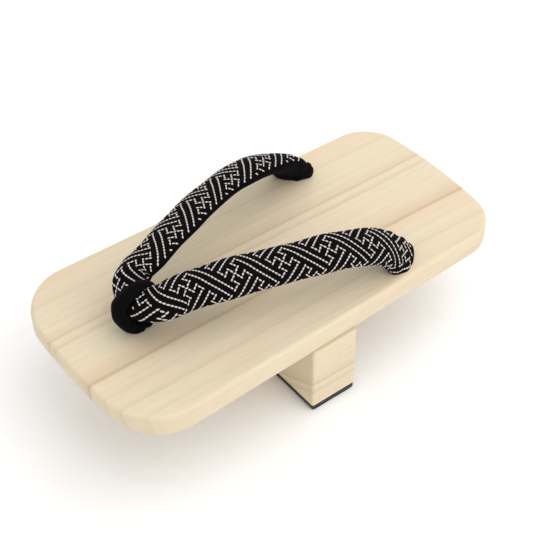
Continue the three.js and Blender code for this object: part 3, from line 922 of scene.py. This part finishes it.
def loop_rings(points=56):
    """An oval carried along the loop in the plane of symmetry, ribbed by shallow lengthwise creases."""
    rows = curve_through(LOOP_ROWS, 16)
    centre = rows[:, :3] + [0, 0, DECK_TOP]
    along = unit(np.gradient(centre, axis=0))
    side = np.array([1.0, 0.0, 0.0])
    normal = np.cross(side, along)
    angle = np.linspace(0, 2 * np.pi, points, endpoint=False)
    travelled = distance_along(centre)
    far = travelled[:, None]
    crease = 1 + 0.035 * np.sin(5 * angle[None] + 0.09 * far) + 0.02 * np.sin(0.8 * far)
    wide = rows[:, 3:4] * crease * np.cos(angle)[None]
    thick = rows[:, 4:5] * crease * np.sin(angle)[None]
    rings = centre[:, None] + wide[..., None] * side + thick[..., None] * normal[:, None]
    rings[..., 2] = np.maximum(rings[..., 2], DECK_TOP - LOOP_SUNK)
    uv = np.stack(np.broadcast_arrays(far, angle[None] * 5), -1)
    return rings[:, ::-1], uv[:, ::-1]


loop_block, loop_uv = loop_rings()
toe_loop = loft("toe_loop_velvet", loop_block, [loop_velvet], ("toe_loop",), loop_uv)

# %% [markdown]
# ## Twine between the tails
# Cream twine is wound tightly round the cord that ties the two tails. It could be one long curve,
# but the turns lie side by side with no gaps, so a helical groove pressed into a fine tube shows
# the same turns, and a second, finer helix across them shows the twist of the strands.

# %% The twine
TWINE_RADIUS, TWINE_HALF = 3.4, 29.0
TURN_PITCH = 1.9
twine, tree, shader = new_material("heel_twine")
coordinates = put(tree, "ShaderNodeUVMap", {"uv_map": "cloth_mm"})
drawn_out = put(tree, "ShaderNodeMapping", None, Vector=coordinates.outputs["UV"], Scale=(2.0, 0.5, 1))
fibre = noise(tree, drawn_out.outputs["Vector"], 1.0, 5.0)
cream = ramp(tree, fibre, [(0.3, (0.52, 0.37, 0.21)), (0.55, (0.74, 0.57, 0.36)),
                           (0.75, (0.86, 0.72, 0.50))])
tree.links.new(cream, shader.inputs["Base Color"])
shader.inputs["Roughness"].default_value = 0.85
shader.inputs["Sheen Weight"].default_value = 0.15
tree.links.new(bump(tree, fibre, 0.6, 0.2), shader.inputs["Normal"])


def twine_rings(points=64, count=460):
    """A tube along x whose radius dips between helical turns, with the strands' twist as a finer wave."""
    x = np.linspace(-TWINE_HALF, TWINE_HALF, count)
    angle = np.linspace(0, 2 * np.pi, points, endpoint=False)
    turn = x[:, None] / TURN_PITCH + angle[None] / (2 * np.pi)
    ridge = np.abs(np.sin(np.pi * turn)) ** 0.6
    twist = 0.08 * np.sin(2 * np.pi * turn * 2 + angle[None] * 14)
    radius = TWINE_RADIUS - 0.62 + 0.55 * ridge + twist * ridge
    end = np.clip((TWINE_HALF - np.abs(x)) / 1.2, 0, 1)[:, None]
    radius = radius * (0.72 + 0.28 * np.sqrt(end))
    y = HEEL_Y + radius * np.cos(angle)[None]
    z = TAIL_Z + radius * np.sin(angle)[None]
    rings = np.stack([np.broadcast_to(x[:, None], y.shape), y, z], -1)
    return rings, np.stack([turn * 2.0, np.broadcast_to(angle * TWINE_RADIUS, y.shape)], -1)


twine_block, twine_uv = twine_rings()
loft("heel_twine_wound", twine_block, [twine], ("heel_twine",), twine_uv)

# %% [markdown]
# ## The brass cap
# A thin pressed brass shell covers the toe hole under the deck. Its relief is a plain turned
# design: fine flutes crossed by two raised rings round a boss, inside a beaded rim. The cap is a
# profile carried round an oval with one blunt point, and the flutes are waves in its height, so
# the light breaks on real metal. Brass darkens in hollows, so the finish reads the relief, which
# is kept in the UV map.

# %% The cap
CAP_X, CAP_Y, CAP_WIDE, CAP_LONG, CAP_POINT = -2.0, 97.0, 19.0, 17.5, 4.0
CAP_HEIGHT, CAP_WALL, FLUTES, BEADS = 7.0, 0.8, 26, 48
brass, tree, shader = new_material("cap_brass")
coordinates = put(tree, "ShaderNodeUVMap", {"uv_map": "cloth_mm"})
hollow = put(tree, "ShaderNodeSeparateXYZ", None, Vector=coordinates.outputs["UV"]).outputs["Y"]
wear = noise(tree, millimetres(tree), 0.5, 5.0)
shade = math_node(tree, "MULTIPLY_ADD", wear, 0.35, hollow)
gold = ramp(tree, shade, [(0.25, (0.24, 0.15, 0.035)), (0.55, (0.58, 0.43, 0.15)),
                          (0.95, (0.86, 0.70, 0.34))])
tree.links.new(gold, shader.inputs["Base Color"])
tree.links.new(math_node(tree, "MULTIPLY_ADD", wear, 0.3, 0.18), shader.inputs["Roughness"])
tree.links.new(bump(tree, wear, 0.25, 0.12), shader.inputs["Normal"])
shader.inputs["Metallic"].default_value = 1.0


def cap_rings(points=312):
    """A dome profile from the boss to the rim and back inside, with flutes, rings and beads."""
    angle = np.linspace(0, 2 * np.pi, points, endpoint=False)
    profile_scale = np.array([0.12, 0.4, 0.68, 0.86, 0.93, 1.0, 1.0])
    profile_drop = np.array([1.0, 0.97, 0.86, 0.62, 0.3, 0.14, 0.0])
    fine = np.linspace(0, 1, 56)
    scale, drop = (np.interp(fine, np.linspace(0, 1, 7), table) for table in (profile_scale, profile_drop))
    band = np.clip((scale - 0.26) / 0.12, 0, 1) * np.clip((0.90 - scale) / 0.12, 0, 1)
    flute = band[:, None] * (0.5 + 0.5 * np.cos(FLUTES * angle))[None] ** 0.8
    ring = np.exp(-((scale - 0.34) / 0.04) ** 2) + np.exp(-((scale - 0.56) / 0.035) ** 2)
    boss = (np.exp(-(scale / 0.2) ** 2) + 0.8 * ring)[:, None] * np.ones((1, points))
    bead = np.exp(-((scale - 0.95) / 0.03) ** 2)[:, None] * (0.5 + 0.5 * np.cos(BEADS * angle))[None]
    relief = 0.55 * flute * (1 - 0.8 * np.clip(ring, 0, 1))[:, None] + 0.6 * boss + 0.35 * bead
    depth = np.minimum(drop[:, None] * CAP_HEIGHT - 0.75 * (drop[:, None] > 0.05) + relief, CAP_HEIGHT)
    point = CAP_POINT * np.maximum(0, -np.cos(angle)) ** 4
    x = CAP_X + (CAP_WIDE + point)[None] * scale[:, None] * np.cos(angle)[None]
    y = CAP_Y + CAP_LONG * scale[:, None] * np.sin(angle)[None]
    outer = np.stack([x, y, UNDERSIDE - np.maximum(depth, 0)], -1)
    inner = outer[::-1].copy()
    inner[..., :2] = (inner[..., :2] - [CAP_X, CAP_Y]) * 0.95 + [CAP_X, CAP_Y]
    inner[..., 2] = np.minimum(inner[..., 2] + CAP_WALL, UNDERSIDE)
    mask = np.concatenate([relief, relief[::-1] * 0])
    return np.concatenate([outer, inner]), mask


cap_block, cap_mask = cap_rings()
cap_uv = np.stack([np.zeros_like(cap_mask), np.clip(cap_mask, 0, 1)], -1)
loft("toe_cap_brass", cap_block, [brass], ("toe_cap",), cap_uv)
